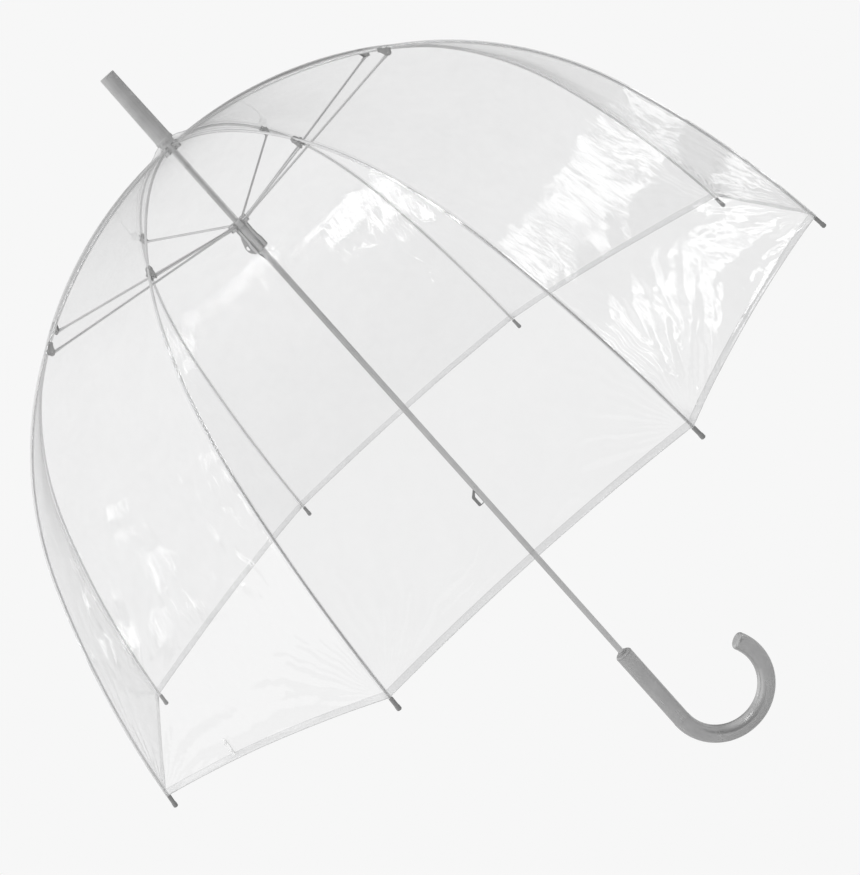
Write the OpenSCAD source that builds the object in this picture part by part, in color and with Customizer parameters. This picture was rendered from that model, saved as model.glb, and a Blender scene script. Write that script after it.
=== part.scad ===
/* [Dome] */
// Number of ribs, and of canopy panels between them
rib_count = 8; // [8]
// Height of the rib pivots above the middle of the straight grip
pivot_height = 708; // [600:1:780]
// Distance of each rib pivot from the shaft's axis
pivot_r = 8; // [8:0.1:9]
// Slope of a rib where it leaves the top notch, in degrees below level
start_slope = 1.5; // [0:0.5:4]
// Radius of the rib's upper arc, from the notch to the stretcher bracket
crown_arc_r = 460; // [400:5:520]
// Angle that the upper arc turns through
crown_sweep = 27.6; // [24:0.1:30]
// Radius of the rib's shoulder arc, below the bracket
shoulder_arc_r = 324; // [300:2:350]
// Angle that the shoulder arc turns through
shoulder_sweep = 37.9; // [34:0.1:42]
// Radius of the rib's lowest, flattest arc
skirt_arc_r = 862; // [700:2:1000]
// Angle that the lowest arc turns through
skirt_sweep = 14; // [10:0.1:16]

/* [Canopy film] */
// Thickness of the clear film
film_t = 0.3; // [0.2:0.05:0.6]
// Distance from a rib's centre line to the inside of the film
film_offset = 1.8; // [1.7:0.1:2.5]
// Gap between neighbouring panels
seam_gap = 0.4; // [0.3:0.1:0.8]

/* [Ribs and stretchers] */
// Diameter of a rib's wire
rib_d = 2.5; // [2:0.1:2.6]
// Diameter of a stretcher's wire
stretcher_d = 2.2; // [1.8:0.1:2.4]
// Diameter of the hinge pins and of the notch's ring wire
pin_d = 1.2; // [1:0.1:1.4]
// Depth of the stretcher's pin below the rib's centre line
bracket_drop = 5.2; // [5:0.1:6]
// Length of a tip cap
tip_l = 12.5; // [10:0.5:16]
// Diameter of a tip cap
tip_d = 4.4; // [4:0.1:6]

/* [Shaft and runner] */
// Outer diameter of the shaft's tube
shaft_d = 6; // [6:0.1:6.4]
// Wall of the shaft's tube
shaft_wall = 0.5; // [0.4:0.05:0.6]
// Depth of the runner's pivot circle below the rib pivots, dome open
runner_drop = 94; // [85:1:100]
// Radius of the runner's pivot circle
runner_pivot_r = 9; // [8.6:0.1:9.6]
// Radius of the runner's crown
crown_r = 10.6; // [10:0.1:10.8]
// Height of the runner's crown
crown_h = 7; // [6:0.5:8]
// Diameter of the runner's sleeve
sleeve_d = 14.2; // [13.4:0.2:14.4]
// Diameter of the runner's bottom flange
flange_d = 16.4; // [15:0.2:16.6]
// Length of the runner below its pivot circle
runner_l = 32; // [30:1:36]
// Depth of the bottom catch's pin below the rib pivots
low_catch_drop = 433; // [430:1:440]

/* [Ferrule] */
// Length of the ferrule above the canopy
ferrule_l = 79; // [60:1:90]
// Diameter of the ferrule at its base
ferrule_base_d = 17; // [15:0.2:18]
// Diameter of the ferrule at its flat tip
ferrule_tip_d = 15.4; // [13:0.2:16]

/* [Handle] */
// Diameter of the straight grip
grip_d = 17.8; // [16:0.2:20]
// Length of the straight grip
grip_l = 93; // [70:1:110]
// Diameter of the hook's round section
hook_d = 18.2; // [16:0.2:20]
// Radius of the hook's centre line
hook_r = 49.5; // [40:0.5:55]
// Angle that the hook turns through
hook_sweep = 206; // [180:1:215]

/* [Hidden] */
$fn = 48;
COUNT = [1 : rib_count];
PER_RIB = ["rib_upper_", "rib_lower_", "rib_tip_", "stretcher_", "canopy_upper_", "canopy_lower_"];
SINGLE = ["ferrule", "canopy_washer", "top_notch", "notch_wire", "shaft", "runner", "top_catch",
          "bottom_catch", "catch_pins", "handle", "handle_collar", "closing_strap"];

pitch = 360 / rib_count;
half = pitch / 2;
rib_r = rib_d / 2;
pin_r = pin_d / 2;
shaft_r = shaft_d / 2;
fit = 0.06;      // radial clearance round a hinge pin
snug = 0.02;     // radial clearance of a seat that doesn't move
clear = 0.3;     // gap between pieces that move past each other

// The rib's centre line lies in a radial plane, as [distance from the axis, height over the pivots].
// Its slope grows from arc to arc, so a point on an arc is known by the slope there.
function centre(p, r, slope) = p - r * [sin(slope), cos(slope)];
function on_arc(c, r, slope) = c + r * [sin(slope), cos(slope)];

slope_0 = start_slope;
slope_1 = slope_0 + crown_sweep;
slope_2 = slope_1 + shoulder_sweep;
slope_3 = slope_2 + skirt_sweep;
p_0 = [pivot_r, 0];
c_1 = centre(p_0, crown_arc_r, slope_0);
p_1 = on_arc(c_1, crown_arc_r, slope_1);
c_2 = centre(p_1, shoulder_arc_r, slope_1);
p_2 = on_arc(c_2, shoulder_arc_r, slope_2);
c_3 = centre(p_2, skirt_arc_r, slope_2);
p_3 = on_arc(c_3, skirt_arc_r, slope_3);

// The stretcher turns on a pin below the bracket and points at the runner's pivot circle.
drop_pin = p_1 - bracket_drop * [sin(slope_1), cos(slope_1)];
runner_pin = [runner_pivot_r, -runner_drop];
reach = drop_pin - runner_pin;
stretcher_l = norm(reach);
stretcher_slope = atan2(reach[1], reach[0]);
stretcher_gap = 2.5; // the free end stops this far short of the pivot circle

// Heights over the pivots
notch_top = 6.4;
notch_rim = 3;
notch_bottom = -5;
washer_t = 1;
ferrule_z = notch_top + washer_t;
runner_slot_w = 1.6;
catch_w = 1;
catch_slot_w = 1.4;
leaf_t = 0.8;
runner_bottom = -runner_drop - runner_l;
grip_top = grip_l / 2 - pivot_height;

module at_rib(k) {
    rotate([0, 0, half + pitch * (k - 1)]) translate([0, 0, pivot_height]) children();
}

module at_panel(k) {
    rotate([0, 0, pitch * k]) translate([0, 0, pivot_height]) children();
}

module at_pivots() {
    translate([0, 0, pivot_height]) children();
}

// A round wire along an arc of the rib, from one slope to another
module arc_wire(c, arc_r, from, to, wire_r) {
    translate([c[0], 0, c[1]])
        rotate([90, 0, 0])
            rotate([0, 0, 90 - to])
                rotate_extrude(angle = to - from, $fn = 180)
                    translate([arc_r, 0])
                        circle(r = wire_r, $fn = 24);
}

// Moves to a point of the radial plane, with X along the given slope and Z square to it
module along(p, slope) {
    translate([p[0], 0, p[1]]) rotate([0, slope, 0]) children();
}

// A cylinder across the radial plane
module cross_pin(r, w) {
    rotate([90, 0, 0]) cylinder(r = r, h = w, center = true);
}

module rib_upper(k) {
    eye_w = 2.4;
    wire_short = 5;      // the wire stops short of the knee pin
    cheek_in = rib_r + clear;
    cheek_t = 0.9;
    color("gainsboro") at_rib(k) {
        difference() {
            union() {
                arc_wire(c_1, crown_arc_r, slope_0, slope_1 - wire_short / crown_arc_r * 180 / PI, rib_r);
                along(p_0, slope_0) cross_pin(1.9, eye_w);
            }
            along(p_0, slope_0) cross_pin(pin_r + 0.15, eye_w + 1);
        }
        along(p_1, slope_1) {
            // Crimped bracket: a block round the wire, two cheeks and two pins
            translate([-8.5, -cheek_in - cheek_t, -3]) cube([4, 2 * (cheek_in + cheek_t), 3.3]);
            for (side = [-1, 1])
                translate([0, side * (cheek_in + cheek_t / 2), 0])
                    rotate([90, 0, 0])
                        linear_extrude(cheek_t, center = true)
                            polygon([[-8.5, 0.3], [2.2, 0.3], [2.2, -7], [-2.4, -7], [-8.5, -3]]);
            cross_pin(pin_r, 2 * cheek_in + cheek_t);
            translate([0, 0, -bracket_drop]) cross_pin(pin_r, 2 * cheek_in + cheek_t);
        }
    }
}

module rib_lower(k) {
    seat = 6 / skirt_arc_r * 180 / PI;    // the wire's end goes into the tip cap
    lap = 0.05;
    color("gainsboro") at_rib(k) difference() {
        union() {
            arc_wire(c_2, shoulder_arc_r, slope_1 + 0.2, slope_2, rib_r);
            arc_wire(c_3, skirt_arc_r, slope_2 - lap, slope_3 + seat, rib_r - 0.04);
            along(p_1, slope_1) cross_pin(rib_r + 0.15, 2 * rib_r);
        }
        along(p_1, slope_1) cross_pin(pin_r + fit, 2 * rib_r + 1);
    }
}

// Moulded cap on the rib's end: a waisted sleeve with a round bead at its end
module rib_tip(k) {
    r = tip_d / 2;
    seat = 6;
    color("dimgray") at_rib(k) along(p_3, slope_3) translate([0.5, 0, 0]) rotate([0, 90, 0])
        difference() {
            rotate_extrude()
                polygon([[0, 0], [r - 0.5, 0], [r - 0.3, 0.5], [r - 0.3, tip_l - 5], [r, tip_l - 4],
                         [r, tip_l - 0.8], [r - 0.8, tip_l], [0, tip_l]]);
            translate([0, 0, -1]) cylinder(r = rib_r, h = seat + 1);
        }
}

module stretcher(k) {
    r = stretcher_d / 2;
    color("lightgray") at_rib(k) along(drop_pin, -stretcher_slope) difference() {
        union() {
            rotate([0, -90, 0]) cylinder(r = r, h = stretcher_l - stretcher_gap);
            cross_pin(r + 0.3, 2 * rib_r);
        }
        cross_pin(pin_r + fit, 2 * rib_r + 1);
    }
}

// A panel's strip between two slopes of one arc, as a list of points of the radial plane
function strip(c, r, from, to, n) = [for (i = [0 : n]) on_arc(c, r, from + (to - from) * i / n)];
function flip(list) = [for (i = [len(list) - 1 : -1 : 0]) list[i]];

// Flat film strips, straight from rib to rib, so a panel's profile is the rib's seen at its middle
module panel(inner, outer) {
    edge = seam_gap / 2 / cos(half);
    band = [for (p = concat(outer, flip(inner))) [p[0] * cos(half), p[1]]];
    far = p_3[0] + 20;
    near = pivot_r * 0.5;
    intersection() {
        rotate([90, 0, 0]) linear_extrude(far, center = true) polygon(band);
        translate([0, 0, -pivot_height])
            linear_extrude(pivot_height + 20)
                polygon([[near, edge - near * tan(half)], [far, edge - far * tan(half)],
                         [far, far * tan(half) - edge], [near, near * tan(half) - edge]]);
    }
}

// Above the notch's rim the film climbs as a low cone to its clamp under the washer
clamp = [9.3, 3.4];
cone_sweep = 2;
function upper_film(d) = concat([clamp + [0, d]],
                                strip(c_1, crown_arc_r + d, slope_0 + cone_sweep, slope_1 - 0.03, 10));
function lower_film(d) = concat(strip(c_2, shoulder_arc_r + d, slope_1 + 0.03, slope_2, 12),
                                strip(c_3, skirt_arc_r + d, slope_2 + skirt_sweep / 8, slope_3, 7));

module canopy_upper(k) {
    color([0.93, 0.95, 0.96, 0.35]) at_panel(k)
        panel(upper_film(film_offset), upper_film(film_offset + film_t));
}

module canopy_lower(k) {
    color([0.93, 0.95, 0.96, 0.35]) at_panel(k)
        panel(lower_film(film_offset), lower_film(film_offset + film_t));
}

// Short snap tab that closes round the rolled canopy, at the hem of panel 5
module closing_strap() {
    strap_w = 5;
    strap_l = 18;
    strap_t = 0.6;
    slope = slope_3 - 1.2;
    middle = on_arc(c_3, skirt_arc_r + film_offset + film_t + 0.15, slope);
    color([0.95, 0.95, 0.95, 0.8]) at_panel(5) translate([0, -44, 0])
        along([middle[0] * cos(half), middle[1]], slope) {
            translate([-strap_l / 2, -strap_w / 2, 0]) cube([strap_l, strap_w, strap_t]);
            for (x = [-5, 4]) translate([x, 0, strap_t]) cylinder(r = 1.8, h = 0.9);
        }
}

module canopy_washer() {
    washer_r = 8.8;
    color("gainsboro") at_pivots() translate([0, 0, notch_top]) difference() {
        cylinder(r = washer_r, h = washer_t);
        translate([0, 0, -1]) cylinder(r = shaft_r + snug, h = 3);
    }
}

module ferrule() {
    base_r = ferrule_base_d / 2;
    tip_r = ferrule_tip_d / 2;
    edge = 0.6;
    color("darkgray") at_pivots() translate([0, 0, ferrule_z]) difference() {
        rotate_extrude($fn = 64)
            polygon([[0, 0], [base_r + 0.5, 0], [base_r + 0.5, 2], [base_r, 2.6], [tip_r, ferrule_l - edge],
                     [tip_r - edge, ferrule_l], [0, ferrule_l]]);
        translate([0, 0, -1]) cylinder(r = shaft_r + snug, h = 37);
    }
}

module top_notch() {
    body_r = 9.2;
    neck_r = 7.6;
    slot_w = 3.1;
    slot_top = 2.3;
    slot_floor = 5.8;
    color("silver") at_pivots() difference() {
        rotate_extrude($fn = 64)
            polygon([[0, notch_bottom], [body_r, notch_bottom], [body_r, notch_rim - 0.6],
                     [body_r - 0.6, notch_rim], [neck_r, notch_rim], [neck_r, notch_top], [0, notch_top]]);
        translate([0, 0, notch_bottom - 1]) cylinder(r = shaft_r + snug, h = 20);
        for (k = COUNT)
            rotate([0, 0, half + pitch * (k - 1)])
                translate([slot_floor, -slot_w / 2, notch_bottom - 1])
                    cube([6, slot_w, slot_top - notch_bottom + 1]);
        rotate_extrude($fn = 64) translate([pivot_r, 0]) circle(r = pin_r + snug, $fn = 24);
    }
}

module notch_wire() {
    color("silver") at_pivots() rotate_extrude($fn = 64) translate([pivot_r, 0]) circle(r = pin_r, $fn = 24);
}

module shaft() {
    top = ferrule_z + 35;
    bottom = grip_top - 60;
    color("silver") at_pivots() difference() {
        translate([0, 0, bottom]) cylinder(r = shaft_r, h = top - bottom);
        translate([0, 0, bottom - 1]) cylinder(r = shaft_r - shaft_wall, h = top - bottom + 2);
        // Slots that the two catches come out of
        translate([-shaft_d, -catch_slot_w / 2, runner_bottom - 19]) cube([shaft_d, catch_slot_w, 20]);
        translate([-shaft_d, -catch_slot_w / 2, -low_catch_drop - 21]) cube([shaft_d, catch_slot_w, 22.5]);
        for (z = catch_pin_z) translate([0, 0, z]) cross_pin(catch_pin_r + snug, shaft_d + 1);
    }
}

// Heights of the catches' pins
top_pin_z = runner_bottom - 16.5;
low_pin_z = -low_catch_drop;
catch_pin_z = [top_pin_z, low_pin_z];
catch_pin_r = 0.4;

module catch_pins() {
    color("silver") at_pivots()
        for (z = catch_pin_z) translate([0, 0, z]) cross_pin(catch_pin_r, shaft_d - 0.1);
}

// A catch is a bent spring leaf: pts are its outline as [distance from the axis, height over its pin]
module catch_leaf(pts) {
    difference() {
        union() {
            rotate([90, 0, 0]) linear_extrude(catch_w, center = true) polygon(pts);
            cross_pin(1, catch_w - 0.04);
        }
        cross_pin(catch_pin_r + fit, catch_w + 1);
    }
}

module top_catch() {
    nose = 5;
    rise = 16.2;
    color("dimgray") at_pivots() translate([0, 0, top_pin_z])
        catch_leaf([[0.9, 0], [-nose + leaf_t, rise - leaf_t], [-shaft_r - 0.1, rise - leaf_t],
                    [-shaft_r - 0.1, rise], [-nose, rise], [-nose, rise - 2], [-0.9, 0]]);
}

module bottom_catch() {
    reach_out = 9;
    pad = 3.2;
    color("dimgray") at_pivots() translate([0, 0, low_pin_z])
        catch_leaf([[-0.9, 0], [-reach_out + 0.8, -6.8], [-reach_out, -8], [-reach_out, -18],
                    [-reach_out + 0.8, -19], [-shaft_r - 0.1, -19], [-shaft_r - 0.1, -18.2],
                    [-reach_out + pad, -18.2], [-reach_out + pad, -8.6], [0.9, 0]]);
}

// Slotted crown, sleeve and flange on the shaft. The stretchers fold into flutes down its sides, and a split
// finger guard with a hole stands over the open slot that the bottom catch comes through.
module runner() {
    bore_r = shaft_r + 0.09;
    sleeve_r = sleeve_d / 2;
    flange_r = flange_d / 2;
    under = crown_h / 2;
    flute_w = 2.9;
    flute_floor = 5.8;
    key_w = 2;
    key_r = 5.4;
    guard_t = 0.7;
    color("silver") at_pivots() translate([0, 0, -runner_drop]) {
        difference() {
            rotate_extrude($fn = 64)
                polygon([[bore_r, under], [crown_r - 0.5, under], [crown_r, under - 0.5],
                         [crown_r, 0.5 - under], [crown_r - 0.5, -under], [sleeve_r - 0.5, -under],
                         [sleeve_r, -under - 0.5], [sleeve_r, -11], [sleeve_r - 0.4, -11.4],
                         [sleeve_r - 0.4, -12.4], [sleeve_r, -12.8], [sleeve_r, -18], [flange_r, -23],
                         [flange_r, 1 - runner_l], [flange_r - 1, -runner_l], [bore_r, -runner_l]]);
            for (k = COUNT)
                rotate([0, 0, half + pitch * (k - 1)])
                    translate([flute_floor, -flute_w / 2, -runner_l - 1])
                        cube([flange_d, flute_w, runner_l + 2 + crown_h]);
            // Keyway for the top catch, and the sleeve's open slot for the bottom one
            translate([-key_r, -key_w / 2, -crown_h]) cube([key_r, key_w, 2 * crown_h]);
            translate([-12, -runner_slot_w / 2, -runner_l - 1])
                cube([12, runner_slot_w, runner_l + 1 - under - 0.5]);
        }
        for (side = [-1, 1])
            translate([0, side * (runner_slot_w + guard_t) / 2, 0])
                rotate([90, 0, 0])
                    linear_extrude(guard_t, center = true)
                        difference() {
                            polygon([[-5, -10], [-5, -31], [-7.2, -31], [-9.6, -29.4], [-11.2, -26],
                                     [-11.4, -22], [-8.8, -14], [-6.8, -10]]);
                            translate([-8.9, -23.4]) scale([1.5, 2.4]) circle(r = 1, $fn = 32);
                        }
    }
}

module handle() {
    bore_l = 61;
    end_r = 3.5;
    cap_r = hook_d / 2 - 0.05;
    color("darkgray") {
        difference() {
            translate([0, 0, -grip_l / 2]) cylinder(d = grip_d, h = grip_l - 1.5, $fn = 64);
            translate([0, 0, grip_l / 2 - bore_l]) cylinder(r = shaft_r + snug, h = bore_l + 1);
        }
        translate([hook_r, 0, -grip_l / 2]) rotate([90, 0, 0]) {
            rotate([0, 0, 180])
                rotate_extrude(angle = hook_sweep, $fn = 128)
                    translate([hook_r, 0]) circle(d = hook_d, $fn = 48);
            // Rounded end
            rotate([0, 0, 180 + hook_sweep]) translate([hook_r, 0, 0]) rotate([-90, 0, 0])
                rotate_extrude($fn = 48) {
                    translate([0, -1]) square([cap_r, 1]);
                    square([cap_r - end_r, end_r]);
                    translate([cap_r - end_r, 0]) intersection() {
                        circle(r = end_r, $fn = 48);
                        square(end_r);
                    }
                }
        }
    }
}

// Thin cap ring pressed on the top of the grip, round the shaft
module handle_collar() {
    color("gray") translate([0, 0, grip_l / 2 - 1.5]) difference() {
        rotate_extrude($fn = 64)
            polygon([[0, 0], [grip_d / 2 - 0.4, 0], [grip_d / 2 - 0.4, 1], [grip_d / 2 - 1.4, 2],
                     [shaft_r + 1.4, 2], [shaft_r + 1.4, 4], [0, 4]]);
        translate([0, 0, -1]) cylinder(r = shaft_r + snug, h = 8);
    }
}

ferrule();
canopy_washer();
top_notch();
notch_wire();
shaft();
runner();
top_catch();
bottom_catch();
catch_pins();
handle();
handle_collar();
closing_strap();
for (k = COUNT) {
    rib_upper(k);
    rib_lower(k);
    rib_tip(k);
    stretcher(k);
    canopy_upper(k);
    canopy_lower(k);
}
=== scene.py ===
"""Looks of the clear dome umbrella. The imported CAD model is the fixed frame. Lengths are in metres."""
import math

import bmesh
import bpy
import numpy as np
from mathutils import Matrix, Vector, noise


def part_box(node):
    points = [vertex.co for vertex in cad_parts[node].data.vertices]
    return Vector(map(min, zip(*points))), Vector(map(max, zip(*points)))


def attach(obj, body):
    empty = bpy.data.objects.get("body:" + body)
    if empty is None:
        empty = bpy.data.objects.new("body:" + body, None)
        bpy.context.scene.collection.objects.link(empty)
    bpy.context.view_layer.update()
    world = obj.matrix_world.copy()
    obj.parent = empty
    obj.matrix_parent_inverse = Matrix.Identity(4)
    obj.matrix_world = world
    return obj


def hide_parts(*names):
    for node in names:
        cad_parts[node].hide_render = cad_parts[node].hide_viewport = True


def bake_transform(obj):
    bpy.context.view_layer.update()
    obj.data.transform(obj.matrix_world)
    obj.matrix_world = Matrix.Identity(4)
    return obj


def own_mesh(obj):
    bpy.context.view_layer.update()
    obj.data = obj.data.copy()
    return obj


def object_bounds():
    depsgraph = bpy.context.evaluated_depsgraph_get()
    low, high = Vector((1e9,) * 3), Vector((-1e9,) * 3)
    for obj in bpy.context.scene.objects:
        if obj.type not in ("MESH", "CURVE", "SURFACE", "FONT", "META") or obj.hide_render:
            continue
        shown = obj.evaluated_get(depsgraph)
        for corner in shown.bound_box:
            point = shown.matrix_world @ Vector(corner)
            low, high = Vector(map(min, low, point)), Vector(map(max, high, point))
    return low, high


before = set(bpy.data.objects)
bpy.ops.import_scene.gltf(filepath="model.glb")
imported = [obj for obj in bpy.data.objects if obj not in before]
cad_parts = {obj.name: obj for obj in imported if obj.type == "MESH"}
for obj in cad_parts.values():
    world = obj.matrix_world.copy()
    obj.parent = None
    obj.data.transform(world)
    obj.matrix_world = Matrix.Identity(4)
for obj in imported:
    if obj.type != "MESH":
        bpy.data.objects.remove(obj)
cad_box = [list(corner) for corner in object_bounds()]

# ---------------------------------------------------------------- design, as in the CAD source
RIBS = 8
PITCH = 2 * math.pi / RIBS
HALF = PITCH / 2
PIVOT_Z = 0.708
PIVOT_R = 0.008
START_SLOPE = math.radians(1.5)
ARCS = [(0.460, math.radians(27.6)), (0.324, math.radians(37.9)), (0.862, math.radians(14.0))]
RIB_R = 0.00125
BRACKET_DROP = 0.0052
RUNNER_DROP = 0.094
STRETCHER_R = 0.0011
RUNNER_PIVOT_R = 0.009
STRETCHER_GAP = 0.0015     # 1 mm less than in the CAD source, so that the rod just reaches into the crown
CHEEK_IN = RIB_R + 0.0003
CHEEK_T = 0.0009

# The film, which is finer here than in the CAD: welded seams, a folded hem and soft waves
FILM_OFFSET = 0.00195     # from a rib's centre line to the film
CLAMP_RISE = 0.0049       # the film climbs this much to its clamp under the ferrule
CLAMP_SPAN = (0.001, 0.017)   # lengths down the rib between which it does
SEAM_W = 0.0024           # half of the welded seam over a rib
SEAM_SHARE = 0.42         # and never more than this share of the panel's half width
WELD_T = 0.00022          # the seam stands out by this much
HEM_W = 0.0056            # depth of the folded hem
HEM_LINE = 0.0009         # width of the welded line on each side of the hem
HEM_STEP = 0.0006         # the rows of open film are spread down to this far above the hem
HEM_RISE = 0.0048         # the hem curves up by this much between two tips
SAG = 0.0045              # the film sinks in between two ribs
WAVE_H = 0.0011           # height of its soft waves
CREASE_H = 0.00075        # height of the creases that fan out from its lower corners


def rib_spans():
    """The rib's arcs as (length at its start, radius, slope at its start, centre), in the radial plane."""
    r, z, slope, length, spans = PIVOT_R, 0.0, START_SLOPE, 0.0, []
    for arc_r, sweep in ARCS:
        cr, cz = r - arc_r * math.sin(slope), z - arc_r * math.cos(slope)
        spans.append((length, arc_r, slope, cr, cz))
        slope += sweep
        length += arc_r * sweep
        r, z = cr + arc_r * math.sin(slope), cz + arc_r * math.cos(slope)
    return spans, length


SPANS, RIB_LENGTH = rib_spans()
BRACKET_S = ARCS[0][0] * ARCS[0][1]


def on_rib(s, offset=0.0):
    """Distance from the axis, height over the pivots and slope, s along the rib and offset outside it."""
    start, arc_r, slope0, cr, cz = [span for span in SPANS if span[0] <= max(s, 0.0)][-1]
    slope = slope0 + (s - start) / arc_r
    return cr + (arc_r + offset) * math.sin(slope), cz + (arc_r + offset) * math.cos(slope), slope


def rib_azimuth(k):
    return HALF + PITCH * (k - 1)


def panel_azimuth(k):
    return PITCH * k


def radial(azimuth):
    return Vector((math.cos(azimuth), math.sin(azimuth), 0))


def tangent(azimuth):
    return Vector((-math.sin(azimuth), math.cos(azimuth), 0))


def in_plane(azimuth, r, z):
    """A point of the radial plane at that azimuth, in the row frame."""
    return radial(azimuth) * r + Vector((0, 0, PIVOT_Z + z))


def plane_frame(azimuth, r, z, slope):
    """Axes at a point of the radial plane: X down the slope, Y across the plane, Z outwards."""
    out, up = radial(azimuth), Vector((0, 0, 1))
    x = out * math.cos(slope) - up * math.sin(slope)
    y = tangent(azimuth)
    z_axis = out * math.sin(slope) + up * math.cos(slope)
    m = Matrix((x, y, z_axis)).transposed().to_4x4()
    m.translation = in_plane(azimuth, r, z)
    return m


def smooth(x, low, high):
    t = min(1.0, max(0.0, (x - low) / (high - low)))
    return t * t * (3 - 2 * t)


# ---------------------------------------------------------------- camera
VIEW_ELEVATION = math.radians(12.62)
LEAN = math.radians(41.8)         # the umbrella lies at this angle in the picture
CAMERA_DISTANCE = 2.054
LENS_MM = 89.6
SENSOR_MM = 36
FAR_CLIP = 60
AIM_DROP = 0.368                  # the camera looks at the shaft this far below the pivots
TARGET = Vector((0, 0, PIVOT_Z - AIM_DROP))
FORWARD = Vector((0, math.cos(VIEW_ELEVATION), -math.sin(VIEW_ELEVATION)))
CAMERA_AT = TARGET - FORWARD * CAMERA_DISTANCE


def make_camera():
    upright = Vector((0, math.sin(VIEW_ELEVATION), math.cos(VIEW_ELEVATION)))
    right = Vector((1, 0, 0)) * math.cos(LEAN) - upright * math.sin(LEAN)
    up = Vector((1, 0, 0)) * math.sin(LEAN) + upright * math.cos(LEAN)
    data = bpy.data.cameras.new("camera")
    data.sensor_width = SENSOR_MM
    data.sensor_fit = "HORIZONTAL"
    data.lens = LENS_MM
    data.clip_end = FAR_CLIP
    camera = bpy.data.objects.new("camera", data)
    m = Matrix((right, up, -FORWARD)).transposed().to_4x4()
    m.translation = CAMERA_AT
    camera.matrix_world = m
    bpy.context.scene.collection.objects.link(camera)
    bpy.context.scene.camera = camera


make_camera()


# ---------------------------------------------------------------- node helpers
class Nodes:
    """Builds a node tree with short calls: add a node, set its plain values, link sockets."""

    def __init__(self, tree):
        self.tree = tree
        tree.nodes.clear()

    def add(self, kind, **values):
        node = self.tree.nodes.new(kind)
        for key, value in values.items():
            setattr(node, key, value)
        return node

    def put(self, node, **inputs):
        """Sets inputs by name, _ for a space, or by i and a number: sockets are linked, values are set."""
        for key, value in inputs.items():
            socket = node.inputs[int(key[1:])] if key[1:].isdigit() else node.inputs[key.replace("_", " ")]
            if isinstance(value, bpy.types.NodeSocket):
                self.tree.links.new(value, socket)
            else:
                socket.default_value = value
        return node

    def math(self, operation, a, b=None, c=None):
        node = self.add("ShaderNodeMath", operation=operation)
        for index, value in enumerate((a, b, c)):
            if value is not None:
                self.put(node, **{f"i{index}": value})
        return node.outputs[0]

    def scaled(self, vector, factors):
        node = self.add("ShaderNodeMapping")
        self.put(node, Vector=vector, Scale=factors)
        return node.outputs[0]

    def noise(self, vector, scale, detail, roughness=0.5):
        node = self.add("ShaderNodeTexNoise")
        self.put(node, Vector=vector, Scale=scale, Detail=detail, Roughness=roughness)
        return node.outputs[0]

    def span(self, value, low, high, from_low=0.3, from_high=0.7):
        """value, mostly from from_low to from_high, as a number from low to high."""
        node = self.add("ShaderNodeMapRange")
        self.put(node, Value=value, From_Min=from_low, From_Max=from_high, To_Min=low, To_Max=high)
        return node.outputs[0]

    def tones(self, value, dark, light):
        """A colour from dark to light. A Mix node keeps its colours in inputs 6 and 7 and output 2."""
        node = self.add("ShaderNodeMix", data_type="RGBA")
        self.put(node, i0=value, i6=(*dark, 1), i7=(*light, 1))
        return node.outputs[2]

    def bump(self, height, depth):
        """A bump from a height in units of depth metres."""
        node = self.add("ShaderNodeBump")
        self.put(node, Height=height, Distance=depth, Strength=1.0)
        return node.outputs[0]


def material(name):
    mat = bpy.data.materials.new(name)
    mat.use_nodes = True
    nodes = Nodes(mat.node_tree)
    out = nodes.add("ShaderNodeOutputMaterial")
    return mat, nodes, out


def grey(value):
    return (value, value, value)


def plastic(name, tone, rough, streaks=(260, 260, 40), contrast=0.06, pearl=0.0):
    """Moulded plastic: slightly cloudy colour, uneven gloss, and a fine moulded grain."""
    grain_depth = 0.000004
    mat, n, out = material(name)
    at = n.add("ShaderNodeTexCoord").outputs["Object"]
    cloud = n.noise(at, scale=55, detail=4)
    drawn = n.noise(n.scaled(at, streaks), scale=1, detail=5, roughness=0.6)
    mixed = n.math("ADD", n.math("MULTIPLY", cloud, 0.5), n.math("MULTIPLY", drawn, 0.5))
    colour = n.tones(n.span(mixed, 0, 1), grey(tone * (1 - contrast)), grey(tone * (1 + contrast)))
    fine = n.noise(at, scale=2600, detail=2)
    shader = n.add("ShaderNodeBsdfPrincipled")
    n.put(shader, Base_Color=colour, Roughness=n.span(drawn, rough - 0.05, rough + 0.09))
    grain = n.math("ADD", n.math("MULTIPLY", fine, 0.2), n.math("MULTIPLY", drawn, 0.8))
    n.put(shader, Normal=n.bump(grain, grain_depth), IOR=1.5, Metallic=pearl)
    n.put(out, Surface=shader.outputs[0])
    return mat


def metal(name, tone, rough, streaks, depth=0.000004):
    """Drawn or stamped steel: fine lengthwise lines, uneven polish and faint darker patches."""
    tarnish = 0.12
    mat, n, out = material(name)
    at = n.add("ShaderNodeTexCoord").outputs["Object"]
    lines = n.noise(n.scaled(at, streaks), scale=1, detail=4, roughness=0.6)
    patches = n.noise(at, scale=38, detail=5, roughness=0.6)
    colour = n.tones(n.span(patches, 0, 1), grey(tone * (1 - tarnish)), grey(tone))
    shader = n.add("ShaderNodeBsdfPrincipled")
    rough_value = n.math("ADD", n.span(lines, rough - 0.05, rough + 0.07), n.span(patches, 0.0, 0.06))
    n.put(shader, Base_Color=colour, Roughness=rough_value, Normal=n.bump(lines, depth), Metallic=1.0)
    n.put(out, Surface=shader.outputs[0])
    return mat


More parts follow.
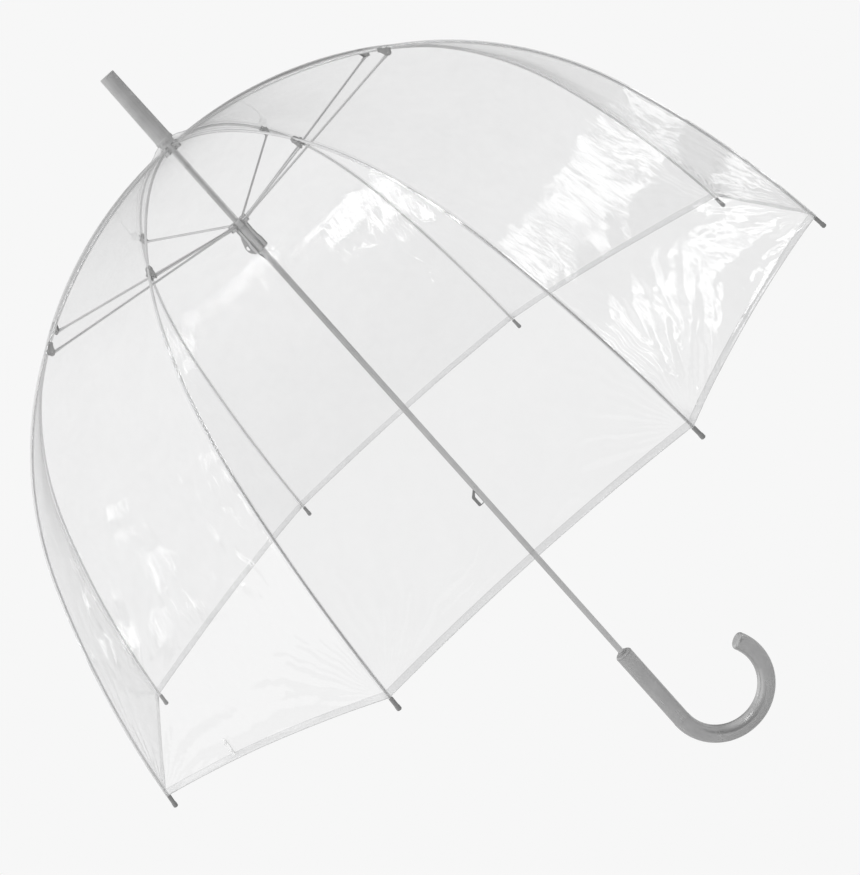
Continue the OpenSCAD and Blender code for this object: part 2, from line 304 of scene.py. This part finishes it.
def film(name, tint, haze, shine, creases):
    """Clear vinyl film, seen through: a little haze, thin-film gloss on both sides, and creases from folding.
    The map 'flat' holds a point's place on the flat panel in metres: across it, and down from the notch."""
    mat, n, out = material(name)
    coords = n.add("ShaderNodeTexCoord")
    at = coords.outputs["Object"]
    flat = n.add("ShaderNodeUVMap", uv_map="flat").outputs[0]
    split = n.add("ShaderNodeSeparateXYZ")
    n.put(split, Vector=flat)
    across, down = split.outputs[0], split.outputs[1]
    # Pulled creases that fan out from the two lower corners
    corner_x = on_rib(RIB_LENGTH)[0] * math.sin(HALF)
    dx = n.math("SUBTRACT", corner_x, n.math("ABSOLUTE", across))
    dy = n.math("SUBTRACT", RIB_LENGTH, down)
    away = n.math("SQRT", n.math("ADD", n.math("MULTIPLY", dx, dx), n.math("MULTIPLY", dy, dy)))
    turn = n.math("ARCTAN2", dy, dx)
    wander = n.noise(at, scale=11, detail=3, roughness=0.55)
    fan = n.math("SINE", n.math("ADD", n.math("MULTIPLY", turn, 46), n.math("MULTIPLY", wander, 34)))
    fade = n.math("POWER", 2.718, n.math("MULTIPLY", away, -7.5))
    patchy = n.span(n.noise(at, scale=17, detail=2), 0, 1, 0.38, 0.62)
    fans = n.math("MULTIPLY", n.math("MULTIPLY", fan, fade), patchy)
    # Lengthwise folds from storage, and soft waves of the whole sheet
    folds = n.noise(n.scaled(at, (42, 42, 9)), scale=1, detail=5, roughness=0.62)
    waves = n.noise(at, scale=9, detail=2)
    fan_height = n.math("MULTIPLY", fans, 0.45 * creases)
    fold_height = n.math("MULTIPLY", folds, 0.40 * creases)
    height = n.math("ADD", fan_height, fold_height)
    height = n.math("ADD", height, n.math("MULTIPLY", waves, 1.5))
    bumped = n.bump(height, depth=0.0007)
    weight = n.add("ShaderNodeLayerWeight")
    n.put(weight, Normal=bumped, Blend=0.5)
    schlick = n.math("POWER", weight.outputs["Facing"], 5)
    mirror = n.math("MULTIPLY_ADD", schlick, 0.80, shine)
    clear = n.add("ShaderNodeBsdfTransparent")
    n.put(clear, Color=(*tint, 1))
    milk = n.add("ShaderNodeBsdfDiffuse")
    n.put(milk, Normal=bumped, Color=(*grey(0.9), 1))
    hazy = n.add("ShaderNodeMixShader")
    cloudy = n.span(n.noise(at, scale=24, detail=4, roughness=0.6), haze * 0.55, haze * 1.5)
    n.put(hazy, i0=cloudy, i1=clear.outputs[0], i2=milk.outputs[0])
    gloss = n.add("ShaderNodeBsdfGlossy")
    n.put(gloss, Roughness=n.span(folds, 0.03, 0.09), Normal=bumped, Color=(1, 1, 1, 1))
    both = n.add("ShaderNodeMixShader")
    n.put(both, i0=mirror, i1=hazy.outputs[0], i2=gloss.outputs[0])
    n.put(out, Surface=both.outputs[0])
    return mat


CLEAR = film("film_clear", (0.974, 0.974, 0.975), haze=0.065, shine=0.050, creases=1.0)
WELDED = film("film_welded", (0.945, 0.946, 0.948), haze=0.12, shine=0.09, creases=0.5)
LINE = film("film_stitched", (0.80, 0.801, 0.803), haze=0.16, shine=0.09, creases=0.5)
STRAP = plastic("strap_white", 0.93, 0.30)
WIRE = metal("wire_rib", 0.92, 0.30, streaks=(900, 900, 120))
LINK = metal("wire_stretcher", 0.74, 0.28, streaks=(900, 900, 300))
CLIP = metal("stamped_clip", 0.42, 0.34, streaks=(500, 500, 500), depth=0.000012)
TUBE = metal("shaft_tube", 0.74, 0.15, streaks=(900, 900, 10), depth=0.000001)
SPRING = metal("catch_spring", 0.32, 0.30, streaks=(900, 900, 200))
RUNNER = plastic("runner_plastic", 0.50, 0.36)
FERRULE = plastic("ferrule_plastic", 0.44, 0.33, streaks=(400, 400, 12), contrast=0.16)
GRIP = plastic("grip_plastic", 0.52, 0.20, contrast=0.08, pearl=0.65)
COLLAR = plastic("collar_plastic", 0.44, 0.30, pearl=0.3)
TIP = plastic("tip_plastic", 0.26, 0.34)


# ---------------------------------------------------------------- mesh helpers
SHARP = math.radians(50)            # edges that turn by more than this are sharp
SHARP_BEVELLED = math.radians(40)   # and on pieces whose edges are bevelled


def piece(name, verts, faces, mat):
    mesh = bpy.data.meshes.new(name)
    mesh.from_pydata([tuple(v) for v in verts], [], faces)
    mesh.materials.append(mat)
    mesh.polygons.foreach_set("use_smooth", [True] * len(mesh.polygons))
    mesh.update()
    obj = bpy.data.objects.new(name, mesh)
    bpy.context.scene.collection.objects.link(obj)
    return obj


def sweep(points, frames, sections, sides=12):
    """A closed tube: sections are each ring's half sizes across and along its frame's Y and Z."""
    verts, faces = [], []
    for centre, (y_axis, z_axis), (half_y, half_z) in zip(points, frames, sections):
        for i in range(sides):
            a = 2 * math.pi * i / sides
            verts.append(centre + y_axis * (half_y * math.cos(a)) + z_axis * (half_z * math.sin(a)))
    rings = len(points)
    for ring in range(rings - 1):
        for i in range(sides):
            j = (i + 1) % sides
            a, b = ring * sides, (ring + 1) * sides
            faces.append((a + i, b + i, b + j, a + j))
    faces.append(tuple(range(sides)))
    faces.append(tuple((rings - 1) * sides + i for i in reversed(range(sides))))
    return verts, faces


class Builder:
    """Collects solids made in one local frame, bevels their edges and puts them in place as one piece."""

    def __init__(self):
        self.bm = bmesh.new()

    def plate(self, outline, low, high):
        """The outline, points (x, z), pushed out along Y from low to high."""
        flat = [self.bm.verts.new((x, low, z)) for x, z in outline]
        face = self.bm.faces.new(flat)
        grown = bmesh.ops.extrude_face_region(self.bm, geom=[face])
        moved = [v for v in grown["geom"] if isinstance(v, bmesh.types.BMVert)]
        bmesh.ops.translate(self.bm, verts=moved, vec=(0, high - low, 0))

    def turned(self, profile, matrix, sides=20):
        """A profile of (radius, height) turned about the matrix's Z."""
        rings = []
        for r, h in profile:
            rings.append([
                self.bm.verts.new(matrix @ Vector((r * math.cos(a), r * math.sin(a), h)))
                for a in (2 * math.pi * i / sides for i in range(sides))
            ])
        for low, high in zip(rings, rings[1:]):
            for i in range(sides):
                j = (i + 1) % sides
                self.bm.faces.new((low[i], low[j], high[j], high[i]))
        self.bm.faces.new(list(reversed(rings[0])))
        self.bm.faces.new(rings[-1])

    def finish(self, name, mat, matrix, bevel):
        bmesh.ops.recalc_face_normals(self.bm, faces=self.bm.faces)
        sharp = [e for e in self.bm.edges if e.is_manifold and e.calc_face_angle(0) > SHARP]
        bmesh.ops.bevel(self.bm, geom=sharp, offset=bevel, segments=2, profile=0.6, affect="EDGES")
        mesh = bpy.data.meshes.new(name)
        self.bm.transform(matrix)
        self.bm.to_mesh(mesh)
        self.bm.free()
        mesh.materials.append(mat)
        mesh.polygons.foreach_set("use_smooth", [True] * len(mesh.polygons))
        mesh.set_sharp_from_angle(angle=SHARP_BEVELLED)
        obj = bpy.data.objects.new(name, mesh)
        bpy.context.scene.collection.objects.link(obj)
        return obj


# ---------------------------------------------------------------- canopy film
ROWS_UPPER = 44
ROWS_LOWER = 104
SEAM_COLUMNS = 5          # over each seam
INNER_COLUMNS = 46        # spaces between the two seams
COLUMNS = 2 * SEAM_COLUMNS + INNER_COLUMNS - 1
TOP_S = 0.0012            # the film starts here, down the rib
HEM_ROWS = 8              # the last rows of a panel, on the hem's face and on its fold
LINE_ROWS = (0, 3)        # the strips of the hem that are its welded lines


def seam_width(half_width):
    return min(SEAM_W, half_width * SEAM_SHARE)


def film_columns(half_width):
    """Places across a panel, from rib to rib: fine over the two seams, even between them."""
    seam = seam_width(half_width)
    step = min(0.0005, half_width * 0.06)
    edge = [0.0, seam * 0.5, seam - step, seam, seam + step]
    left = [-half_width + x for x in edge]
    reach = half_width - seam - step
    middle = [-reach + 2 * reach * i / INNER_COLUMNS for i in range(1, INNER_COLUMNS)]
    return left + middle + [-x for x in reversed(left)]


def place_across(s, column):
    """Where a column of the panel lies across it, and the panel's half width, s down the rib."""
    half_width = on_rib(s, FILM_OFFSET)[0] * math.sin(HALF)
    return film_columns(half_width)[column], half_width


def film_lift(k, y, half_width, s):
    """How far the film stands out from the plane between its ribs: it sinks in and has soft creases."""
    u = y / half_width
    low = smooth(s, 0.05, BRACKET_S) * (1 - 0.45 * smooth(s, 0.45, RIB_LENGTH))
    lift = -SAG * low * (1 - u * u)
    margin = smooth(half_width - abs(y), 0.003, 0.03)
    place = Vector((y * 13 + 7.3 * k, s * 7, 2.1 * k))
    lift += WAVE_H * margin * low * noise.noise(place)
    corner = on_rib(RIB_LENGTH)[0] * math.sin(HALF)
    for side in (-1, 1):
        dx, dy = corner - side * y, RIB_LENGTH - s
        away = math.hypot(dx, dy)
        turn = math.atan2(dy, dx)
        wander = noise.noise(Vector((y * 9, s * 9, k + 5.5 * side)))
        ridge = math.sin(turn * 24 + 5.0 * wander + 1.7 * k)
        lift += CREASE_H * margin * ridge * smooth(away, 0.01, 0.05) * math.exp(-away / 0.10)
    return lift


def film_rows():
    """A panel's rows as (start, share, offset). Above the brackets start is the length down the rib.
    Below them share is the way from the brackets to the hem. In the hem there is no start, and share is the
    distance back from its edge; offset lifts its face and sinks its fold."""
    face = [(HEM_W + HEM_LINE, 0.0), (HEM_W, 0.0003), (HEM_W * 0.5, 0.00034), (HEM_LINE, 0.0003)]
    fold = [(0.0, 0.0), (HEM_LINE, -0.00045), (HEM_W * 0.5, -0.0005), (HEM_W, -0.00045)]
    for i in range(ROWS_UPPER):
        yield TOP_S + (BRACKET_S - TOP_S) * i / ROWS_UPPER, None, 0.0
    for i in range(ROWS_LOWER):
        yield BRACKET_S, i / ROWS_LOWER, 0.0
    for back, offset in face + fold:
        yield None, back, offset


def film_mesh(k):
    """Rows of points of panel k, each with its place on the flat panel, in the row frame."""
    azimuth = panel_azimuth(k)
    out, across, up = radial(azimuth), tangent(azimuth), Vector((0, 0, 1))
    grid, flat = [], []
    for start, share, offset in film_rows():
        line, flat_line = [], []
        for j in range(COLUMNS):
            # The rows between the bracket and the hem follow the hem's curve, so s differs along a row
            if start is None or share is not None:
                y, half_width = place_across(RIB_LENGTH, j)
                hem = RIB_LENGTH - HEM_RISE * (1 - (y / half_width) ** 2)
                if start is None:
                    s = hem - share
                else:
                    s = BRACKET_S + (hem - HEM_W - HEM_LINE - HEM_STEP - BRACKET_S) * share
            else:
                s = start
            y, half_width = place_across(s, j)
            rise = CLAMP_RISE * (1 - smooth(s, *CLAMP_SPAN))
            r, z, slope = on_rib(s, FILM_OFFSET + rise)
            weld = WELD_T if half_width - abs(y) < seam_width(half_width) + 1e-6 else 0.0
            lift = film_lift(k, y, half_width, s) + offset + weld
            normal = out * math.sin(slope) + up * math.cos(slope)
            y_here = y * (r / on_rib(s, FILM_OFFSET)[0])
            line.append(out * (r * math.cos(HALF)) + across * y_here + up * (PIVOT_Z + z) + normal * lift)
            flat_line.append((y_here, s))
        grid.append(line)
        flat.append(flat_line)
    return grid, flat


def grid_piece(name, grid, flat, first, last, normals):
    """A panel's rows first to last as one mesh, with the whole panel's smooth normals and its flat map."""
    width = len(grid[0])
    verts = [p for row in grid[first:last + 1] for p in row]
    faces, bands = [], []
    for i in range(last - first):
        row = first + i - (len(grid) - HEM_ROWS)
        for j in range(width - 1):
            a = i * width + j
            faces.append((a, a + width, a + width + 1, a + 1))
            seam = j < SEAM_COLUMNS - 1 or j >= width - SEAM_COLUMNS
            bands.append(2 if row in LINE_ROWS else 1 if row >= 0 or seam else 0)
    obj = piece(name, verts, faces, CLEAR)
    obj.data.materials.append(WELDED)
    obj.data.materials.append(LINE)
    obj.data.polygons.foreach_set("material_index", bands)
    uv = obj.data.uv_layers.new(name="flat")
    places = [p for row in flat[first:last + 1] for p in row]
    loops = np.zeros(len(obj.data.loops), np.int32)
    obj.data.loops.foreach_get("vertex_index", loops)
    uv.data.foreach_set("uv", np.array(places, np.float32)[loops].ravel())
    obj.data.normals_split_custom_set_from_vertices(
        [tuple(n) for n in normals[first * width:(last + 1) * width]]
    )
    return obj


def grid_normals(grid):
    """Smooth normals of a grid of points, by the differences to its neighbours."""
    points = np.array([[tuple(p) for p in row] for row in grid])
    down = np.gradient(points, axis=0)
    over = np.gradient(points, axis=1)
    normal = np.cross(down, over)
    normal /= np.maximum(np.linalg.norm(normal, axis=2, keepdims=True), 1e-12)
    return normal.reshape(-1, 3)


def make_canopy():
    split = ROWS_UPPER
    for k in range(1, RIBS + 1):
        grid, flat = film_mesh(k)
        normals = grid_normals(grid)
        parts = [
            ("upper", 0, split, f"panel_upper_{k}", TOP_S, BRACKET_S),
            ("lower", split, len(grid) - 1, f"panel_lower_{k}", BRACKET_S, RIB_LENGTH),
        ]
        for part, first, last, body, from_s, to_s in parts:
            obj = grid_piece(f"film_{part}_{k}", grid, flat, first, last, normals)
            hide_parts(f"canopy_{part}_{k}")
            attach(obj, body)
            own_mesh(obj)


# ---------------------------------------------------------------- ribs, brackets, stretchers
RIB_OVERRUN = 0.006       # the wire goes on this far into its tip cap
RIB_STEPS = 150
EYE_GAP = 0.0022          # from the eye's centre to the start of the wire
EYE_TAPER = 0.006         # the wire is pressed flat up to here
WIRE_THINNED, WIRE_WIDENED = 0.12, 0.30   # shares by which pressing changes a rib's wire
ROD_THINNED, ROD_WIDENED = 0.22, 0.42     # and a stretcher's rod
PIN_R = 0.0006
RIVET_HEAD = [(0.0012, -0.0002), (0.0012, 0.00015), (0.0009, 0.0005), (0.0004, 0.00065)]


def make_rib(k):
    """One springy wire from the notch to the tip cap, with a flattened eye on the notch's ring."""
    azimuth = rib_azimuth(k)
    end = RIB_LENGTH + RIB_OVERRUN
    lengths = [EYE_GAP, 0.003, 0.0042]
    lengths += [EYE_TAPER + (end - EYE_TAPER) * i / RIB_STEPS for i in range(RIB_STEPS + 1)]
    points, frames, sections = [], [], []
    for s in lengths:
        r, z, slope = on_rib(s)
        m = plane_frame(azimuth, r, z, slope)
        flat = 1 - smooth(s, EYE_GAP, EYE_TAPER)
        points.append(m.translation.copy())
        frames.append((m.col[1].to_3d(), m.col[2].to_3d()))
        sections.append((RIB_R * (1 - WIRE_THINNED * flat), RIB_R * (1 + WIRE_WIDENED * flat)))
    verts, faces = sweep(points, frames, sections)
    # The eye: a short ring round the notch's wire, on which the rib hinges
    m = plane_frame(azimuth, *on_rib(0.0))
    base, sides = len(verts), 24
    hole, rim, half_w = 0.00085, 0.0019, 0.0011
    for radius, y in ((rim, -half_w), (rim, half_w), (hole, half_w), (hole, -half_w)):
        for i in range(sides):
            a = 2 * math.pi * i / sides
            verts.append(m @ Vector((radius * math.cos(a), y, radius * math.sin(a))))
    for ring in range(4):
        for i in range(sides):
            j = (i + 1) % sides
            a, b = base + ring * sides, base + (ring + 1) % 4 * sides
            faces.append((a + i, a + j, b + j, b + i))
    obj = piece(f"rib_{k}", verts, faces, WIRE)
    obj.data.set_sharp_from_angle(angle=SHARP)
    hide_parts(f"rib_upper_{k}", f"rib_lower_{k}")
    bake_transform(obj)


def quarter_turn(side):
    """A quarter turn about X, one way or the other."""
    return Matrix.Rotation(side * math.pi / 2, 4, "X")


def make_bracket(k):
    """The stamped clip that is crimped round the rib and holds the stretcher on a rivet."""
    m = plane_frame(rib_azimuth(k), *on_rib(BRACKET_S))
    b = Builder()
    outer = CHEEK_IN + CHEEK_T
    cheek = [(-0.0085, 0.0004), (0.0014, 0.0004), (0.0022, -0.0006), (0.0024, -0.0062), (0.0016, -0.0070),
             (-0.0016, -0.0070), (-0.0026, -0.0062), (-0.0062, -0.0034), (-0.0085, -0.0026)]
    b.plate(cheek, CHEEK_IN, outer)
    b.plate(cheek, -outer, -CHEEK_IN)
    # Crimped saddle round the wire, pinched in two places
    saddle = [(-0.0088, 0.0009), (-0.0078, 0.0013), (-0.0071, 0.0008), (-0.0064, 0.0013), (-0.0056, 0.0008),
              (-0.0048, 0.0011), (-0.0042, 0.0004), (-0.0042, -0.0028), (-0.0088, -0.0026)]
    b.plate(saddle, -outer + 0.0001, outer - 0.0001)
    for height in (0.0, -BRACKET_DROP):
        for side in (-1, 1):
            head = Matrix.Translation((0, side * outer, height)) @ quarter_turn(-side)
            b.turned(RIVET_HEAD, head)
        pin = Matrix.Translation((0, -outer, height)) @ quarter_turn(-1)
        b.turned([(PIN_R, 0.0001), (PIN_R, 2 * outer - 0.0001)], pin, sides=12)
    obj = b.finish(f"bracket_{k}", CLIP, m, bevel=0.00016)
    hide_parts(f"rib_upper_{k}")
    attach(obj, f"rib_upper_{k}")


def make_stretcher(k):
    """A steel rod with pressed flat ends, from the bracket's lower pin to the runner's crown."""
    azimuth = rib_azimuth(k)
    r, z = on_rib(BRACKET_S, -BRACKET_DROP)[:2]
    inner = Vector((RUNNER_PIVOT_R, -RUNNER_DROP))
    pin = Vector((r, z))
    along = inner - pin
    length = along.length - STRETCHER_GAP
    along.normalize()
    out, up = radial(azimuth), Vector((0, 0, 1))
    start = in_plane(azimuth, r, z)
    direction = out * along.x + up * along.y
    side = tangent(azimuth)
    square = direction.cross(side)
    stops = [-0.0016, -0.0012, 0.0, 0.004, 0.009, 0.014, 0.05]
    stops += [length * i / 12 for i in range(4, 11)]
    stops += [length - 0.014, length - 0.009, length - 0.004, length - 0.0008, length]
    points, frames, sections = [], [], []
    for x in stops:
        near = min(x, length - x)
        flat = 1 - smooth(near, 0.004, 0.013)
        round_end = 1.0 if near > 0 else max(0.25, 1 - (near / 0.0018) ** 2)
        points.append(start + direction * x)
        frames.append((side, square))
        half_y = STRETCHER_R * (1 - ROD_THINNED * flat)
        half_z = STRETCHER_R * (1 + ROD_WIDENED * flat) * round_end
        sections.append((half_y, half_z))
    verts, faces = sweep(points, frames, sections, sides=14)
    obj = piece(f"stretcher_rod_{k}", verts, faces, LINK)
    obj.data.set_sharp_from_angle(angle=SHARP)
    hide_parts(f"stretcher_{k}")
    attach(obj, f"stretcher_{k}")


STRAP_PANEL = 5
STRAP_TILT = math.radians(1.2)     # the tab is this much less steep than the rib's end
STRAP_HALF = (0.0088, 0.0024, 0.0003)     # half of its length, width and thickness
STRAP_SINK = 0.0004                # it lies this far inside the middle of the CAD strap
STUD = [(0.0021, 0.0), (0.0021, 0.0003), (0.0017, 0.0006), (0.0012, 0.0005),
        (0.0010, 0.0009), (0.0006, 0.0011)]


def make_strap():
    """The closing tab at the hem of one panel: a short strip with rounded ends and two snap studs."""
    low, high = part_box("closing_strap")
    azimuth = panel_azimuth(STRAP_PANEL)
    m = plane_frame(azimuth, 0, 0, on_rib(RIB_LENGTH)[2] - STRAP_TILT)
    m.translation = (low + high) / 2
    b = Builder()
    length, width, thick = STRAP_HALF
    ends = []
    for side in (1, -1):
        for i in range(7):
            a = -math.pi / 2 + math.pi * i / 6
            ends.append((side * (length - width) + side * width * math.cos(a), side * width * math.sin(a)))
    b.plate(ends, -thick - STRAP_SINK, thick - STRAP_SINK)
    bmesh.ops.transform(b.bm, matrix=quarter_turn(-1).inverted(), verts=b.bm.verts)
    for place in (-0.005, 0.004):
        b.turned(STUD, Matrix.Translation((place, 0, -0.0001)), sides=24)
    obj = b.finish("closing_tab", STRAP, m, bevel=0.0001)
    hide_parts("closing_strap")
    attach(obj, f"panel_lower_{STRAP_PANEL}")
    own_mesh(obj)


make_canopy()
for k in range(1, RIBS + 1):
    make_rib(k)
    make_bracket(k)
    make_stretcher(k)
make_strap()


# ---------------------------------------------------------------- CAD nodes that stay, with their materials
def paint(node, mat):
    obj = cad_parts[node]
    obj.data.materials.clear()
    obj.data.materials.append(mat)


PAINTS = {
    "ferrule": FERRULE, "canopy_washer": RUNNER, "top_notch": RUNNER, "notch_wire": WIRE, "shaft": TUBE,
    "runner": RUNNER, "top_catch": SPRING, "bottom_catch": SPRING, "catch_pins": SPRING, "handle": GRIP,
    "handle_collar": COLLAR,
}
for node_name, node_material in PAINTS.items():
    paint(node_name, node_material)
for k in range(1, RIBS + 1):
    paint(f"rib_tip_{k}", TIP)


# ---------------------------------------------------------------- studio
PALE = 0.93


def make_world():
    world = bpy.data.worlds.new("studio")
    world.use_nodes = True
    bpy.context.scene.world = world
    n = Nodes(world.node_tree)
    out = n.add("ShaderNodeOutputWorld")
    path = n.add("ShaderNodeLightPath")
    seen = n.add("ShaderNodeBackground")
    n.put(seen, Color=(*grey(PALE), 1))
    # What the pieces mirror and are lit by: dark on the viewer's side, pale to the left, the right and above
    way = n.add("ShaderNodeTexCoord").outputs["Generated"]
    split = n.add("ShaderNodeSeparateXYZ")
    n.put(split, Vector=way)
    beside = n.math("ABSOLUTE", n.math("SUBTRACT", split.outputs[0], 0.30))
    share = n.math("MAXIMUM", beside, n.math("MULTIPLY", split.outputs[2], 0.8))
    front = n.span(n.math("MULTIPLY", split.outputs[1], -1.0), 1.0, 0.45, 0.2, 0.8)
    tone = n.tones(n.math("MULTIPLY", n.span(share, 0, 1, 0.2, 0.9), front), grey(0.16), grey(1.05))
    room = n.add("ShaderNodeBackground")
    n.put(room, Color=tone)
    mix = n.add("ShaderNodeMixShader")
    n.put(mix, i0=path.outputs["Is Camera Ray"], i1=room.outputs[0], i2=seen.outputs[0])
    n.put(out, Surface=mix.outputs[0])


def make_floor():
    """A pale floor, evenly lit, that the picture's background fades into without a line."""
    half, steps = 14.0, 8
    gap = 0.03
    low = cad_box[0][2] - gap
    verts, faces = [], []
    for i in range(steps + 1):
        for j in range(steps + 1):
            verts.append((half * (2 * i / steps - 1), half * (2 * j / steps - 1), low))
    for i in range(steps):
        for j in range(steps):
            a = i * (steps + 1) + j
            faces.append((a, a + steps + 1, a + steps + 2, a + 1))
    mat, n, out = material("floor_pale")
    path = n.add("ShaderNodeLightPath")
    glow = n.add("ShaderNodeEmission")
    n.put(glow, Color=(*grey(PALE), 1))
    matte = n.add("ShaderNodeBsdfDiffuse")
    n.put(matte, Color=(*grey(0.6), 1))
    mix = n.add("ShaderNodeMixShader")
    n.put(mix, i0=path.outputs["Is Camera Ray"], i1=matte.outputs[0], i2=glow.outputs[0])
    n.put(out, Surface=mix.outputs[0])
    obj = piece("floor", verts, faces, mat)


def film_place(azimuth, s):
    """A point of the film and its outward normal, at an azimuth and a length down the rib."""
    k = round(azimuth / PITCH)
    r, z, slope = on_rib(s, FILM_OFFSET)
    out, up = radial(k * PITCH), Vector((0, 0, 1))
    y = r * math.cos(HALF) * math.tan(azimuth - k * PITCH)
    point = out * (r * math.cos(HALF)) + tangent(k * PITCH) * y + up * (PIVOT_Z + z)
    return point, (out * math.sin(slope) + up * math.cos(slope) * math.cos(HALF)).normalized()


def mirrored(azimuth_deg, s, distance):
    """Where something has to stand so that the camera sees it mirrored in the film at that place."""
    point, normal = film_place(math.radians(azimuth_deg), s)
    ray = (point - CAMERA_AT).normalized()
    return point, point + ray.reflect(normal) * distance


def facing(place, target):
    m = (target - place).to_track_quat("-Z", "Y").to_matrix().to_4x4()
    m.translation = place
    return m


def softbox(name, place, target, width, height, watts):
    """A soft lamp that lights the pieces but isn't mirrored in them."""
    data = bpy.data.lights.new(name, "AREA")
    data.shape = "RECTANGLE"
    data.size, data.size_y, data.energy = width, height, watts
    obj = bpy.data.objects.new(name, data)
    obj.matrix_world = facing(place, target)
    obj.visible_camera = False
    obj.visible_glossy = False
    bpy.context.scene.collection.objects.link(obj)


def window(name, spot, size, grid, strength, roll=0, slant=0.0, frame_share=0.5):
    """A glowing window that only shows as a reflection: slanting rows of panes between dark bars."""
    target, place = mirrored(*spot)
    (width, height), (columns, rows) = size, grid
    mat, n, out = material(name)
    flat = n.add("ShaderNodeTexCoord").outputs["UV"]
    split = n.add("ShaderNodeSeparateXYZ")
    n.put(split, Vector=flat)
    across, rise = split.outputs[0], split.outputs[1]
    sloped = n.math("MULTIPLY_ADD", across, -slant, rise)
    panes = n.math("GREATER_THAN", n.math("FRACT", n.math("MULTIPLY", sloped, float(rows))), frame_share)
    if columns > 1:
        inside = n.math("FRACT", n.math("MULTIPLY", across, float(columns)))
        panes = n.math("MULTIPLY", panes, n.math("GREATER_THAN", inside, frame_share * 0.7))
    glow = n.add("ShaderNodeEmission")
    n.put(glow, Strength=n.math("MULTIPLY", panes, strength))
    n.put(out, Surface=glow.outputs[0])
    corners = [(-width / 2, -height / 2, 0), (width / 2, -height / 2, 0),
               (width / 2, height / 2, 0), (-width / 2, height / 2, 0)]
    obj = piece(name, corners, [(0, 1, 2, 3)], mat)
    uv = obj.data.uv_layers.new(name="flat")
    uv.data.foreach_set("uv", [0, 0, 1, 0, 1, 1, 0, 1])
    obj.matrix_world = facing(place, target) @ Matrix.Rotation(math.radians(roll), 4, "Z")
    obj.visible_camera = False
    obj.visible_diffuse = False
    obj.visible_shadow = False


def make_lights():
    middle = Vector((0, 0, 0.4))
    softbox("key", Vector((-2.6, -2.4, 2.6)), middle, width=2.4, height=1.8, watts=60)
    softbox("fill", Vector((2.8, -1.8, 1.2)), middle, width=1.6, height=1.6, watts=14)
    softbox("back", Vector((0.6, 2.8, 1.8)), middle, width=2.6, height=1.6, watts=30)
    # Each spot is the azimuth in degrees and the length down the rib where the window shows, and its distance
    window("window_tall", spot=(284, 0.38, 0.7), size=(0.062, 0.72), grid=(1, 6), strength=11,
           roll=7, slant=0.30, frame_share=0.6)
    window("window_panes", spot=(254, 0.35, 0.7), size=(0.055, 0.62), grid=(3, 7), strength=9,
           roll=-11, slant=-0.55, frame_share=0.6)
    window("window_slim", spot=(249, 0.39, 0.7), size=(0.028, 0.40), grid=(2, 1), strength=12,
           roll=-6, frame_share=0.3)
    window("window_side", spot=(318, 0.55, 2.2), size=(0.42, 1.1), grid=(2, 2), strength=4)
    window("window_low", spot=(213, 0.45, 0.9), size=(0.040, 0.42), grid=(2, 4), strength=6, roll=21)


make_world()
make_floor()
make_lights()
bpy.context.scene.view_settings.view_transform = "Standard"
